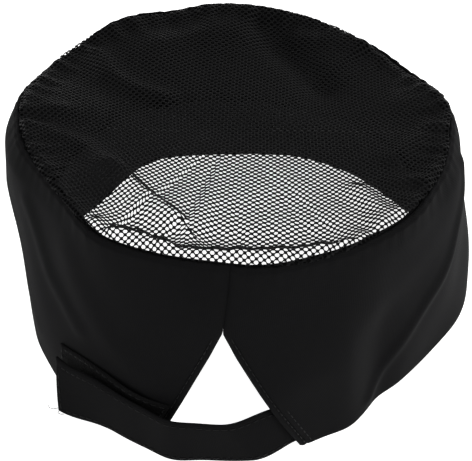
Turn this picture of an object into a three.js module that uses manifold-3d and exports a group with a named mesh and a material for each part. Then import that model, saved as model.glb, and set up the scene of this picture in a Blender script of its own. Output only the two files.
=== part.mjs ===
// A mesh-top kitchen skull cap: a cone-shaped double twill band, a gathered net crown,
// and a hook-and-loop strap across the vent at the back.
// Millimetres, +Z up. The wearer faces +Y, so the vent and the strap are at -Y.
// The origin is at the bottom centre of the whole cap, which stands on its hem.
import * as THREE from 'three';
import * as BufferGeometryUtils from 'three/addons/utils/BufferGeometryUtils.js';
import Module from 'manifold-3d';

// The band's outline at the hem and at the crown seam, seen from above. Soft cloth is never
// quite round: each wave is [how many round the cap, how far, bearing of the first crest].
const HEM_RADIUS = 92;
const HEM_WAVES = [[2, 3.9, 68], [3, 3.3, 6], [4, 2, 16]];
const SEAM_RADIUS = 90;
const SEAM_WAVES = [[2, 4.8, 114], [3, 1.5, 24]];
// The crown seam's ring leans this far from the hem's, and is lower at the front than at the back
const SEAM_SHIFT_X = -5.4;
const SEAM_SHIFT_Y = -4.5;
const SEAM_SLOPE = 0.085;
const BAND_HEIGHT = 95.5;
const BAND_BULGE = 1;

// The crown is a slack net that stands only a little above its seam
const CROWN_RISE = 4;
const CROWN_SQUARENESS = 4.5;
const NET_THICKNESS = 0.8;
const NET_FLANGE_HEIGHT = 8;

// The layers of the band, from the outside in
const TWILL_THICKNESS = 0.9;
const TURNED_HEM_HEIGHT = 11;
const LINING_THICKNESS = 0.7;
const SWEATBAND_THICKNESS = 1.2;
const SWEATBAND_HEIGHT = 30;
const SWEATBAND_BOTTOM = 2;
const SEAM_TAPE_THICKNESS = 0.8;
const SEAM_TAPE_HEIGHT = 10;
const LAYER_GAP = 0.3;

// The vent is an upside-down V cut up from the hem
const VENT_HALF_WIDTH = 27;
const VENT_HEIGHT = 72;
const SWEATBAND_SETBACK = 4;

// The strap, its root behind the right edge of the vent, and the hook and loop tapes
const STRAP_WIDTH = 24;
const STRAP_THICKNESS = 1.8;
const STRAP_LIFT = 0.8;
const STRAP_LENGTH = 98;
const STRAP_BOW = 2.5;
const ROOT_TUCK = 12;
const HINGE_SETBACK = 4;
const HINGE_GAP = 0.8;
const TAPE_THICKNESS = 1;
const LOOP_TAPE_HEIGHT = 27;
const LOOP_TAPE_LIFT = 3;
const TAPE_MARGIN = 3;
const HOOK_TAPE_LENGTH = 45;
const TAPE_END_MARGIN = 2;

// The care label, sewn flat to the lining
const LABEL_WIDTH = 28;
const LABEL_HEIGHT = 18;
const LABEL_THICKNESS = 0.3;
const LABEL_LIFT = 42;
const LABEL_FROM_BACK_SEAM = 48;

const RING_STEPS = 72;
const BAND_LEVELS = 4;
const STRIP_STEP = 3.75;

const DEGREE = Math.PI / 180;
const BACK = -90;
const wasm = await Module();
wasm.setup();

// ---- outlines ---------------------------------------------------------------------------

function outlineRadius(radius, waves, bearing) {
  const parts = waves.map(([count, far, crest]) => far * Math.cos(count * (bearing - crest) * DEGREE));
  return parts.reduce((sum, part) => sum + part, radius);
}

// Where the band's outer face is, seen from above, at a bearing in degrees and a share of its height
function planPoint(bearing, up) {
  const hem = outlineRadius(HEM_RADIUS, HEM_WAVES, bearing);
  const seam = outlineRadius(SEAM_RADIUS, SEAM_WAVES, bearing);
  const bulge = BAND_BULGE * Math.sin(Math.PI * THREE.MathUtils.clamp(up, 0, 1));
  const reach = THREE.MathUtils.lerp(hem, seam, up) + bulge;
  const x = SEAM_SHIFT_X * up + reach * Math.cos(bearing * DEGREE);
  const y = SEAM_SHIFT_Y * up + reach * Math.sin(bearing * DEGREE);
  return new THREE.Vector2(x, y);
}

// The crown seam lies in a plane that drops towards the front
function seamPlane(y) {
  return BAND_HEIGHT - SEAM_SLOPE * y;
}

function seamHeight(bearing) {
  return seamPlane(planPoint(bearing, 1).y);
}

// A point at a share of the band's height, a distance out from its outer face, square to it in plan
function wallPoint(bearing, up, out) {
  const along = planPoint(bearing + 1, up).sub(planPoint(bearing - 1, up)).normalize();
  const at = planPoint(bearing, up);
  return new THREE.Vector3(at.x + along.y * out, at.y - along.x * out, up * seamHeight(bearing));
}

// The bearing, at a share of the band's height, that is straight over a place on the hem
function bearingAbove(bearing, up) {
  const foot = planPoint(bearing, 0);
  const twoDegrees = planPoint(bearing + 1, 0).sub(planPoint(bearing - 1, 0));
  let above = bearing;
  for (let i = 0; i < 4; i += 1) {
    above -= (2 * planPoint(above, up).sub(foot).dot(twoDegrees)) / twoDegrees.lengthSq();
  }
  return above;
}

// The bearing at the back where the hem is at a given x
function bearingAt(x) {
  let low = BACK - 60;
  let high = BACK + 60;
  for (let i = 0; i < 40; i += 1) {
    const middle = (low + high) / 2;
    if (planPoint(middle, 0).x < x) low = middle;
    else high = middle;
  }
  return low;
}

// The bearing reached by going a distance along the hem from another one, rightwards if positive
function bearingAlong(from, distance) {
  const step = 0.1 * Math.sign(distance);
  let bearing = from;
  let gone = 0;
  while (gone < Math.abs(distance)) {
    gone += planPoint(bearing, 0).distanceTo(planPoint(bearing + step, 0));
    bearing += step;
  }
  return bearing;
}

// ---- solids -----------------------------------------------------------------------------

// A closed mesh with its faces turned outwards
function geometryFrom(points, triangles) {
  let volume = 0;
  for (let i = 0; i < triangles.length; i += 3) {
    const [a, b, c] = triangles.slice(i, i + 3).map((k) => points[k]);
    volume += a.dot(b.clone().cross(c));
  }
  const geometry = new THREE.BufferGeometry();
  geometry.setAttribute('position', new THREE.Float32BufferAttribute(points.flatMap((p) => p.toArray()), 3));
  geometry.setIndex(volume < 0 ? triangles.toReversed() : triangles);
  return geometry;
}

// A solid through a row of equal closed sections, which joins up with itself or is capped
function sweep(sections, joined) {
  const size = sections[0].length;
  const points = sections.flat();
  const triangles = [];
  const last = joined ? sections.length : sections.length - 1;
  for (let i = 0; i < last; i += 1) {
    const next = (i + 1) % sections.length;
    for (let k = 0; k < size; k += 1) {
      const a = i * size + k;
      const b = i * size + ((k + 1) % size);
      const c = next * size + ((k + 1) % size);
      const d = next * size + k;
      triangles.push(a, b, c, a, c, d);
    }
  }
  if (!joined) {
    const end = points.length - size;
    for (let k = 1; k < size - 1; k += 1) {
      triangles.push(0, k + 1, k, end, end + k, end + k + 1);
    }
  }
  return geometryFrom(points, triangles);
}

// Heights between two others, at levels that all the layers share, so that they bend alike
function levelsBetween(bottom, top) {
  const shared = Array.from({ length: BAND_LEVELS + 1 }, (_, i) => (BAND_HEIGHT * i) / BAND_LEVELS);
  return [bottom, ...shared.filter((z) => z > bottom && z < top), top];
}

// The section of a layer that follows the wall, from its inner to its outer face
function layer(inner, outer, bottom, top) {
  const levels = levelsBetween(bottom, top);
  return [...levels.map((z) => [outer, z]), ...levels.toReversed().map((z) => [inner, z])];
}

// A ring round the whole cap, whose section is a list of [out, z]. Its heights are those at the
// middle of the side, and they stretch and shrink with the band's height round the cap.
function ring(section) {
  const sections = Array.from({ length: RING_STEPS }, (_, i) => {
    const bearing = BACK + (360 * i) / RING_STEPS;
    return section.map(([out, z]) => wallPoint(bearing, z / BAND_HEIGHT, out));
  });
  return sweep(sections, true);
}

// A strip of even width that follows the band between two bearings. Its offsets may change along it.
function strip(from, to, bottom, top, offsets) {
  const steps = Math.max(2, Math.ceil(Math.abs(to - from) / STRIP_STEP));
  const middle = (bottom + top) / 2;
  const sections = Array.from({ length: steps + 1 }, (_, i) => {
    const bearing = THREE.MathUtils.lerp(from, to, i / steps);
    const [inner, outer] = offsets(bearing);
    const section = [[outer, bottom], [outer, middle], [outer, top], [inner, top], [inner, middle], [inner, bottom]];
    const up = (z) => z / seamHeight(bearing);
    return section.map(([out, z]) => wallPoint(bearingAbove(bearing, up(z)), up(z), out).setZ(z));
  });
  return sweep(sections, false);
}

function toSolid(geometry) {
  const bare = geometry.clone();
  bare.deleteAttribute('normal');
  bare.deleteAttribute('uv');
  const merged = BufferGeometryUtils.mergeVertices(bare, 1e-4);
  const mesh = new wasm.Mesh({
    numProp: 3,
    vertProperties: new Float32Array(merged.attributes.position.array),
    triVerts: new Uint32Array(merged.index.array),
  });
  return new wasm.Manifold(mesh);
}

function fromSolid(solid) {
  const mesh = solid.getMesh();
  const geometry = new THREE.BufferGeometry();
  geometry.setAttribute('position', new THREE.Float32BufferAttribute(mesh.vertProperties, 3));
  geometry.setIndex(Array.from(mesh.triVerts));
  return geometry;
}

function cut(geometry, tool) {
  return fromSolid(toSolid(geometry).subtract(toSolid(tool)));
}

// The vent as a prism through the back, each edge moved out by a margin
function ventPrism(margin) {
  const below = 10;
  const slope = VENT_HALF_WIDTH / VENT_HEIGHT;
  const shape = new THREE.Shape();
  shape.moveTo(-VENT_HALF_WIDTH - margin - slope * below, -below);
  shape.lineTo(VENT_HALF_WIDTH + margin + slope * below, -below);
  shape.lineTo(0, VENT_HEIGHT + margin / slope);
  shape.closePath();
  const prism = new THREE.ExtrudeGeometry(shape, { depth: HEM_RADIUS * 1.5, bevelEnabled: false });
  return prism.rotateX(Math.PI / 2);
}

// ---- the band ---------------------------------------------------------------------------

const innerFace = -TWILL_THICKNESS;
const liningOuter = innerFace - LAYER_GAP;
const liningInner = liningOuter - LINING_THICKNESS;
const hemInner = liningInner;
const ventCorner = bearingAt(VENT_HALF_WIDTH);
const rootEnd = bearingAlong(ventCorner, ROOT_TUCK);

// Twill, turned up inside along the hem, with the vent cut out of it
function bandOuter() {
  const section = [
    ...levelsBetween(0, BAND_HEIGHT).map((z) => [0, z]),
    ...levelsBetween(TURNED_HEM_HEIGHT, BAND_HEIGHT).toReversed().map((z) => [innerFace, z]),
    [hemInner, TURNED_HEM_HEIGHT],
    [hemInner, 0],
  ];
  return cut(ring(section), ventPrism(0));
}

function bandLining() {
  const section = layer(liningInner, liningOuter, TURNED_HEM_HEIGHT + LAYER_GAP, BAND_HEIGHT - LAYER_GAP);
  return cut(ring(section), ventPrism(0));
}

// A cotton strip inside the forehead and the sides, whose ends stop short of the strap's root
function sweatband() {
  const outer = hemInner - LAYER_GAP;
  const end = bearingAlong(rootEnd, SWEATBAND_SETBACK);
  const otherEnd = BACK + 360 - (end - BACK);
  const top = SWEATBAND_BOTTOM + SWEATBAND_HEIGHT;
  return strip(end, otherEnd, SWEATBAND_BOTTOM, top, () => [outer - SWEATBAND_THICKNESS, outer]);
}

// ---- the crown --------------------------------------------------------------------------

const flangeOuter = liningInner - LAYER_GAP;
const flangeInner = flangeOuter - NET_THICKNESS;

// A place on the net, part of the way from the crown's middle to a place on its edge
function crownPoint(edge, share, rise) {
  const x = THREE.MathUtils.lerp(SEAM_SHIFT_X, edge.x, share);
  const y = THREE.MathUtils.lerp(SEAM_SHIFT_Y, edge.y, share);
  const lift = rise * Math.sqrt(1 - share ** CROWN_SQUARENESS);
  return new THREE.Vector3(x, y, seamPlane(y) + LAYER_GAP + lift);
}

// The net dome, with its raw edge turned down inside the band as a flange
function crownNet() {
  const shares = [0.22, 0.42, 0.6, 0.74, 0.85, 0.93, 0.98];
  const underRise = CROWN_RISE - NET_THICKNESS;
  const meridian = (bearing) => {
    const base = seamHeight(bearing) + LAYER_GAP;
    const edge = wallPoint(bearing, 1, 0).setZ(base);
    const inner = wallPoint(bearing, 1, flangeInner).setZ(base);
    const flangeBottom = 1 - NET_FLANGE_HEIGHT / BAND_HEIGHT;
    return [
      ...shares.map((share) => crownPoint(edge, share, CROWN_RISE)),
      edge,
      wallPoint(bearing, 1, flangeOuter).setZ(base),
      wallPoint(bearing, flangeBottom, flangeOuter),
      wallPoint(bearing, flangeBottom, flangeInner),
      inner,
      ...shares.toReversed().map((share) => crownPoint(inner, share, underRise)),
    ];
  };
  const rows = Array.from({ length: RING_STEPS }, (_, i) => meridian(BACK + (360 * i) / RING_STEPS));
  const size = rows[0].length;
  const points = [...rows.flat(), crownPoint(rows[0][0], 0, CROWN_RISE), crownPoint(rows[0][0], 0, underRise)];
  const top = points.length - 2;
  const bottom = points.length - 1;
  const triangles = [];
  for (let i = 0; i < RING_STEPS; i += 1) {
    const here = i * size;
    const next = ((i + 1) % RING_STEPS) * size;
    triangles.push(top, here, next);
    for (let k = 0; k < size - 1; k += 1) {
      triangles.push(here + k, here + k + 1, next + k + 1, here + k, next + k + 1, next + k);
    }
    triangles.push(here + size - 1, bottom, next + size - 1);
  }
  return geometryFrom(points, triangles);
}

// Binding over the raw edges of the crown seam, inside the flange
function crownSeamTape() {
  const outer = flangeInner - LAYER_GAP;
  const inner = outer - SEAM_TAPE_THICKNESS;
  const top = BAND_HEIGHT - LAYER_GAP;
  return ring(layer(inner, outer, top - SEAM_TAPE_HEIGHT, top));
}

// ---- the strap and its tapes ------------------------------------------------------------

const strapTop = STRAP_LIFT + STRAP_WIDTH;
const ventEdgeAtStrapTop = VENT_HALF_WIDTH * (1 - strapTop / VENT_HEIGHT);
const hinge = bearingAt(ventEdgeAtStrapTop - HINGE_SETBACK);
const leftEdge = bearingAt(-ventEdgeAtStrapTop);
const tabEnd = bearingAlong(hinge, -STRAP_LENGTH);
const tapeEnd = bearingAlong(tabEnd, TAPE_END_MARGIN);
const loopOuter = LAYER_GAP + TAPE_THICKNESS;
const hookOuter = loopOuter + LAYER_GAP + TAPE_THICKNESS;
const strapInnerOnBand = hookOuter + LAYER_GAP;
const rootOuter = hemInner - LAYER_GAP;

// The strap comes out from behind the right edge and crosses over the left one
function strapOffsets(bearing) {
  const share = THREE.MathUtils.smoothstep(hinge - bearing, 0, hinge - leftEdge);
  const bow = STRAP_BOW * Math.sin(Math.PI * share);
  const inner = THREE.MathUtils.lerp(rootOuter - STRAP_THICKNESS, strapInnerOnBand, share) + bow;
  return [inner, inner + STRAP_THICKNESS];
}

function strap() {
  return strip(bearingAlong(hinge, -HINGE_GAP), tabEnd, STRAP_LIFT, strapTop, strapOffsets);
}

function strapRoot() {
  return strip(rootEnd, hinge, STRAP_LIFT, strapTop, () => [rootOuter - STRAP_THICKNESS, rootOuter]);
}

function loopTape() {
  const top = LOOP_TAPE_LIFT + LOOP_TAPE_HEIGHT;
  const whole = strip(leftEdge, tapeEnd, LOOP_TAPE_LIFT, top, () => [LAYER_GAP, loopOuter]);
  return cut(whole, ventPrism(TAPE_MARGIN));
}

function hookTape() {
  const bottom = STRAP_LIFT + TAPE_MARGIN;
  const top = strapTop - TAPE_MARGIN;
  const start = bearingAlong(tapeEnd, HOOK_TAPE_LENGTH);
  return strip(start, tapeEnd, bottom, top, () => [loopOuter + LAYER_GAP, hookOuter]);
}

// ---- the label --------------------------------------------------------------------------

function careLabel() {
  const outer = liningInner - LAYER_GAP;
  const start = bearingAlong(BACK, -LABEL_FROM_BACK_SEAM);
  const end = bearingAlong(start, -LABEL_WIDTH);
  const top = LABEL_LIFT + LABEL_HEIGHT;
  return strip(start, end, LABEL_LIFT, top, () => [outer - LABEL_THICKNESS, outer]);
}

// ---- the cap ----------------------------------------------------------------------------

const TWILL = { color: 0x17181a, roughness: 0.85, metalness: 0 };
const NET = { color: 0x111213, roughness: 0.6, metalness: 0 };
const TAPE = { color: 0x0f1011, roughness: 0.95, metalness: 0 };
const COTTON = { color: 0x1b1c1e, roughness: 0.95, metalness: 0 };
const LABEL = { color: 0xe8e6e0, roughness: 0.7, metalness: 0 };

const cap = new THREE.Group();

function add(name, geometry, look) {
  const mesh = new THREE.Mesh(geometry, new THREE.MeshStandardMaterial(look));
  mesh.name = name;
  cap.add(mesh);
}

add('band_outer', bandOuter(), TWILL);
add('band_lining', bandLining(), TWILL);
add('sweatband', sweatband(), COTTON);
add('crown_net', crownNet(), NET);
add('crown_seam_tape', crownSeamTape(), TWILL);
add('strap_root', strapRoot(), TWILL);
add('strap', strap(), TWILL);
add('hook_tape', hookTape(), TAPE);
add('loop_tape', loopTape(), TAPE);
add('care_label', careLabel(), LABEL);

const box = new THREE.Box3().setFromObject(cap);
const middle = box.getCenter(new THREE.Vector3());
cap.position.set(-middle.x, -middle.y, -box.min.z);
cap.updateMatrixWorld(true);

export default cap;
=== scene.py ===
import math

import bpy
import numpy as np
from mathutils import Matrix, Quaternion, Vector


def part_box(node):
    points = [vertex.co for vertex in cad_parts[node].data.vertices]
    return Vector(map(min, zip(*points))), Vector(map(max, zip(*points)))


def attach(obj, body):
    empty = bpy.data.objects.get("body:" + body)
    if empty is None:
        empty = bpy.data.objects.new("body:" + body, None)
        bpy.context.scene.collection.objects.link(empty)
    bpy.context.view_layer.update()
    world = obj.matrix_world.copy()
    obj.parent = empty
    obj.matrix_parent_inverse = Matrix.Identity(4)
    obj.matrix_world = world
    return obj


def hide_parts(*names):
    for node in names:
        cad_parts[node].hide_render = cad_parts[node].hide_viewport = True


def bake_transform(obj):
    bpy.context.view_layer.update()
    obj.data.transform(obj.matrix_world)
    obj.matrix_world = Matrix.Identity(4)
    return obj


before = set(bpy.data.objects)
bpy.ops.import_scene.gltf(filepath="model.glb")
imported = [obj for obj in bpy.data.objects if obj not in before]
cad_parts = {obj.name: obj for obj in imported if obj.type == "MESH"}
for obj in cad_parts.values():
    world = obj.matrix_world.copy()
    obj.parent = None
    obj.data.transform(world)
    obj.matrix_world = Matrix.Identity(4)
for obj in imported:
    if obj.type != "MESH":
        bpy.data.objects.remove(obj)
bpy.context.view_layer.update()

# --- The view and the table ----------------------------------------------------------------
# The cap stands on a plain white table under three large soft lamps, seen from behind and
# above, the way a shop shows the back of a cap.


def link(piece):
    bpy.context.collection.objects.link(piece)
    return piece


def tidy_nodes(material):
    """The material's empty node tree, with its output and a Principled shader joined to it."""
    material.use_nodes = True
    nodes = material.node_tree.nodes
    nodes.clear()
    output = nodes.new("ShaderNodeOutputMaterial")
    shader = nodes.new("ShaderNodeBsdfPrincipled")
    material.node_tree.links.new(shader.outputs[0], output.inputs[0])
    return nodes, material.node_tree.links, shader, output


TABLE_SIZE = 6.0
table_mesh = bpy.data.meshes.new("table")
corner = TABLE_SIZE / 2
table_corners = [(-corner, -corner, 0), (corner, -corner, 0), (corner, corner, 0), (-corner, corner, 0)]
table_mesh.from_pydata(table_corners, [], [(0, 1, 2, 3)])
table = link(bpy.data.objects.new("table", table_mesh))

# The table shows as white to the eye, and still takes a faint shadow from the cap
white = bpy.data.materials.new("white_table")
nodes, links, shader, output = tidy_nodes(white)
shader.inputs["Base Color"].default_value = (0.8, 0.8, 0.8, 1)
shader.inputs["Roughness"].default_value = 0.9
shader.inputs["Specular IOR Level"].default_value = 0.0
glow = nodes.new("ShaderNodeEmission")
glow.inputs["Strength"].default_value = 0.95
both = nodes.new("ShaderNodeAddShader")
links.new(shader.outputs[0], both.inputs[0])
links.new(glow.outputs[0], both.inputs[1])
rays = nodes.new("ShaderNodeLightPath")
seen = nodes.new("ShaderNodeMath")
seen.operation = "MAXIMUM"
links.new(rays.outputs["Is Camera Ray"], seen.inputs[0])
links.new(rays.outputs["Is Glossy Ray"], seen.inputs[1])
seen_through = nodes.new("ShaderNodeMath")
seen_through.operation = "MAXIMUM"
links.new(seen.outputs[0], seen_through.inputs[0])
links.new(rays.outputs["Is Transmission Ray"], seen_through.inputs[1])
choose = nodes.new("ShaderNodeMixShader")
links.new(seen_through.outputs[0], choose.inputs[0])
links.new(shader.outputs[0], choose.inputs[1])
links.new(both.outputs[0], choose.inputs[2])
links.new(choose.outputs[0], output.inputs[0])
table_mesh.materials.append(white)

world = bpy.data.worlds.new("studio")
bpy.context.scene.world = world
world.use_nodes = True
sky = world.node_tree.nodes["Background"]
sky.inputs["Color"].default_value = (1, 1, 1, 1)
sky.inputs["Strength"].default_value = 0.45
world_nodes, world_links = world.node_tree.nodes, world.node_tree.links
backdrop = world_nodes.new("ShaderNodeBackground")
backdrop.inputs["Color"].default_value = (1, 1, 1, 1)
backdrop.inputs["Strength"].default_value = 1.0
world_rays = world_nodes.new("ShaderNodeLightPath")
world_mix = world_nodes.new("ShaderNodeMixShader")
world_seen = world_nodes.new("ShaderNodeMath")
world_seen.operation = "MAXIMUM"
world_links.new(world_rays.outputs["Is Camera Ray"], world_seen.inputs[0])
world_links.new(world_rays.outputs["Is Transmission Ray"], world_seen.inputs[1])
world_links.new(world_seen.outputs[0], world_mix.inputs[0])
world_links.new(sky.outputs[0], world_mix.inputs[1])
world_links.new(backdrop.outputs[0], world_mix.inputs[2])
world_links.new(world_mix.outputs[0], world_nodes["World Output"].inputs[0])


def lamp(name, place, aim, size, watts):
    light = bpy.data.lights.new(name, "AREA")
    light.size = size
    light.energy = watts
    holder = link(bpy.data.objects.new(name, light))
    holder.location = place
    holder.rotation_euler = (Vector(aim) - Vector(place)).to_track_quat("-Z", "Y").to_euler()


CAP_MIDDLE = (0, 0, 0.06)
lamp("key_lamp", (1.0, -0.8, 1.5), CAP_MIDDLE, size=0.9, watts=19)
lamp("fill_lamp", (-1.3, -1.0, 1.3), CAP_MIDDLE, size=1.2, watts=9)
lamp("front_lamp", (0.5, 1.5, 0.9), CAP_MIDDLE, size=1.2, watts=8)

bpy.context.scene.view_settings.view_transform = "Standard"

# --- The band ------------------------------------------------------------------------------
# One strip of black twill, sewn into a ring by the seam at the back and left open below it as
# the vent. The ring is a little out of round, and its top edge drops towards the forehead.

# The ring at the hem and the ring at the crown seam: a radius, then slow waves round it as
# (waves to a turn, how far out, bearing of a crest). Bearings are in degrees, 0 to the right.
HEM_RADIUS = 0.092
HEM_WAVES = [(2, 0.0039, 68), (3, 0.0033, 6), (4, 0.0020, 16)]
SEAM_RADIUS = 0.090
SEAM_WAVES = [(2, 0.0048, 114), (3, 0.0015, 24)]
# Soft dents and bumps in the two rings: (bearing, how wide in degrees, how far out)
HEM_DENTS = [
    (98, 15, -0.0038), (62, 12, 0.0030), (122, 10, 0.0012), (142, 12, -0.0032), (36, 10, -0.0030),
    (-47, 6, -0.0022), (-60, 6, 0.0026), (-20, 12, 0.0014),
]
SEAM_DENTS = [(-92, 16, -0.0022), (-122, 12, 0.0022), (160, 10, -0.0013), (12, 9, 0.0030)]
# The same for the height of the crown seam: (bearing, how wide, how far up)
SEAM_DIPS = [
    (140, 26, -0.0075), (45, 24, -0.0025), (154, 8, -0.0016), (127, 8, 0.0022), (109, 7, -0.0028),
    (37, 12, -0.0036), (18, 6, 0.0012), (-74, 26, -0.0026), (-112, 20, -0.0016),
]
# The upper ring sits a little left of the hem's and behind it, and leans down to the forehead
SEAM_SHIFT = (-0.0054, -0.0045)
SEAM_SLOPE = 0.085
BAND_HEIGHT = 0.0955
BAND_BULGE = 0.001
# The sides hang out below the crown seam: (bearing, how wide, how far, share of it left at the hem)
BELLIES = [(178, 34, 0.0054, 0.26), (-2, 38, 0.0025, 0.55)]
BACK = -90.0
AROUND = HEM_RADIUS * math.pi / 180

BACK_HEIGHT = BAND_HEIGHT + SEAM_SLOPE * (SEAM_RADIUS - SEAM_SHIFT[1])
BACK_REACH = 0.0957
# The vent: its height, how far right of the middle its tip and the seam above it stand, and how
# far its edges spread from there to the hem
VENT_HEIGHT = 0.0700
VENT_TOP = -0.0040
VENT_LEFT = 0.0261
VENT_RIGHT = 0.0313
SEAM_TOP = -0.0015
# Thickness of each layer, the play between them, the hem's depth and the stitches' inset
TWILL = 0.0009
LINING = 0.0007
GAP = 0.0003
TURNED_HEM = 0.011
STITCH_INSET = 0.0028

# The middle of the hem's ring, worked out from the band's front and right side
HEM_MIDDLE_TO_RIGHT = 0.0941
HEM_MIDDLE_TO_FRONT = 0.0952
band_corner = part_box("band_outer")[1]
middle = np.array([band_corner[0] - HEM_MIDDLE_TO_RIGHT, band_corner[1] - HEM_MIDDLE_TO_FRONT])


def near(value, spot, width):
    """1 at the spot, falling smoothly to nothing over about twice the width."""
    return np.exp(-(((value - spot) / width) ** 2))


def smooth(value, start, end):
    """0 before the start, 1 after the end, with an eased rise between."""
    share = np.clip((value - start) / (end - start), 0, 1)
    return share * share * (3 - 2 * share)


def turned(bearing):
    """The same bearing, from -180 to 180 degrees."""
    return np.mod(np.asarray(bearing, float) + 180, 360) - 180


def dents(places, bearing):
    """All the dents and bumps of a ring together, at a bearing."""
    return sum(far * near(turned(bearing - spot), 0, width) for spot, width, far in places)


def outline(radius, waves, places, bearing):
    """How far a ring of the band is from its middle."""
    rounds = sum(far * np.cos(k * np.radians(bearing - crest)) for k, far, crest in waves)
    return radius + rounds + dents(places, bearing)


def belly(bearing, up):
    """How far the band's sides hang out."""
    out = 0 * bearing
    for spot, width, far, at_hem in BELLIES:
        rising = at_hem + (1 - at_hem) * smooth(up, 0.0, 0.85)
        fading = 1 - 0.75 * smooth(up, 0.88, 1.0)
        out = out + far * near(turned(bearing - spot), 0, width) * rising * fading
    return out


def plain_wall(bearing, up):
    """The smooth outer face of the band, at bearings in degrees and shares of its height."""
    bearing, up = np.broadcast_arrays(np.asarray(bearing, float), np.asarray(up, float))
    turn = np.radians(bearing)
    hem = outline(HEM_RADIUS, HEM_WAVES, HEM_DENTS, bearing)
    seam = outline(SEAM_RADIUS, SEAM_WAVES, SEAM_DENTS, bearing)
    reach = hem + (seam - hem) * up + BAND_BULGE * np.sin(np.pi * np.clip(up, 0, 1)) + belly(bearing, up)
    x = middle[0] + SEAM_SHIFT[0] * up + reach * np.cos(turn)
    y = middle[1] + SEAM_SHIFT[1] * up + reach * np.sin(turn)
    return np.stack([x, y, seam_height(bearing) * up], axis=-1)


def seam_height(bearing):
    """How high the crown seam stands."""
    seam = outline(SEAM_RADIUS, SEAM_WAVES, SEAM_DENTS, np.asarray(bearing, float))
    level = BAND_HEIGHT - SEAM_SLOPE * (seam * np.sin(np.radians(bearing)) + SEAM_SHIFT[1])
    return level + dents(SEAM_DIPS, bearing)


def wall_normal(bearing, up):
    """The way the band's outer face looks."""
    along = plain_wall(bearing + 0.5, up) - plain_wall(bearing - 0.5, up)
    rise = plain_wall(bearing, up + 0.01) - plain_wall(bearing, up - 0.01)
    out = np.cross(along, rise)
    return out / np.linalg.norm(out, axis=-1, keepdims=True)


def wall(bearing, up, out=0.0):
    """A place off the band's outer face, by a distance square to it."""
    bearing, up = np.broadcast_arrays(np.asarray(bearing, float), np.asarray(up, float))
    out = np.broadcast_to(np.asarray(out, float), bearing.shape)
    return plain_wall(bearing, up) + wall_normal(bearing, up) * out[..., None]


# Creases in the cloth: places along each as (bearing, share of the height), then how wide it is
# and how far it stands out, in metres
CREASES = [
    ([(-155, 0.82), (-147, 0.70), (-141, 0.60), (-135, 0.53), (-130, 0.44)], 0.0045, 0.0010),
    ([(-132, 0.80), (-127, 0.66), (-121, 0.52), (-114, 0.40), (-108, 0.30)], 0.0090, 0.0015),
    ([(0, 0.92), (-14, 0.87), (-25, 0.80), (-38, 0.70), (-50, 0.62)], 0.0100, 0.0007),
    ([(-5, 0.88), (-11, 0.77), (-16, 0.68), (-20, 0.58), (-25, 0.49), (-31, 0.40), (-38, 0.30),
      (-46, 0.18), (-52, 0.08)], 0.0036, 0.0012),
    ([(-172, 0.70), (-160, 0.45), (-150, 0.20)], 0.0060, 0.0007),
    ([(20, 0.85), (34, 0.60), (40, 0.35)], 0.0045, 0.0012),
    ([(150, 0.90), (138, 0.62), (128, 0.40)], 0.0050, 0.0012),
    ([(84, 0.75), (96, 0.52), (103, 0.30)], 0.0070, 0.0010),
]


def crease_lift(bearing, up):
    """How far the creases stand out."""
    bearing = turned(bearing)
    lift = np.zeros(np.shape(bearing))
    for path, width, height in CREASES:
        best = np.full(lift.shape, 1.0)
        for (b0, u0), (b1, u1) in zip(path, path[1:]):
            run = np.array([(b1 - b0) * AROUND, (u1 - u0) * BAND_HEIGHT])
            off = np.stack([turned(bearing - b0) * AROUND, (up - u0) * BAND_HEIGHT], axis=-1)
            share = np.clip(off @ run / (run @ run), 0, 1)
            best = np.minimum(best, np.linalg.norm(off - share[..., None] * run, axis=-1))
        lift += height * near(best, 0, width)
    return lift


def soft_waves(bearing, up):
    """The slow swell of cloth that nothing holds up from inside."""
    b = np.radians(bearing)
    return (
        0.0009 * np.sin(5 * b + 4.0 * up + 0.6)
        + 0.0006 * np.sin(9 * b - 6.5 * up + 2.1)
        + 0.0002 * np.sin(17 * b + 9.0 * up + 4.0)
    )


def vent_edge(up, side):
    """Bearing of the vent's edge on one side, which above the vent is the back seam."""
    height = up * BACK_HEIGHT
    below = np.clip(1 - height / VENT_HEIGHT, 0, 1)
    above = np.clip(height / VENT_HEIGHT - 1, 0, 1)
    across = VENT_RIGHT * below ** 1.06 if side > 0 else -VENT_LEFT * below
    across = across + VENT_TOP + (SEAM_TOP - VENT_TOP) * np.clip(above / 0.4, 0, 1)
    return BACK + np.degrees(np.arcsin((across - SEAM_SHIFT[0] * up) / BACK_REACH))


def edge_distance(bearing, up):
    """How far along the cloth it is to the vent's nearer edge."""
    right = np.abs(turned(bearing - vent_edge(up, 1)))
    left = np.abs(turned(bearing - vent_edge(up, -1)))
    return np.minimum(right, left) * AROUND


def swell(bearing, up):
    """How far all the band's layers stand out together: creases, soft waves and curled vent edges."""
    height = up * BAND_HEIGHT
    edge = edge_distance(bearing, up)
    under_strap = near(turned(bearing), -112, 24) * (1 - smooth(height, 0.020, 0.040))
    behind_root = near(turned(bearing), -72, 9) * (1 - smooth(height, 0.020, 0.040))
    calm = 1 - 0.8 * np.maximum(under_strap, behind_root)
    curl = 0.0016 * near(edge, 0, 0.012) * (1 - smooth(height, 0.010, VENT_HEIGHT * 0.9))
    curl = curl * smooth(turned(bearing), -92, -88)
    return (crease_lift(bearing, up) + soft_waves(bearing, up)) * calm + curl


def seam_pucker(bearing, up):
    """The small pull of the crown seam's stitches, fading down from the top edge."""
    b = np.radians(bearing)
    pull = np.sin(83 * b + 1.5 * np.sin(7 * b)) + 0.6 * np.sin(131 * b + 2.0)
    return 0.00022 * pull * near(up, 1.0, 0.07)


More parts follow.
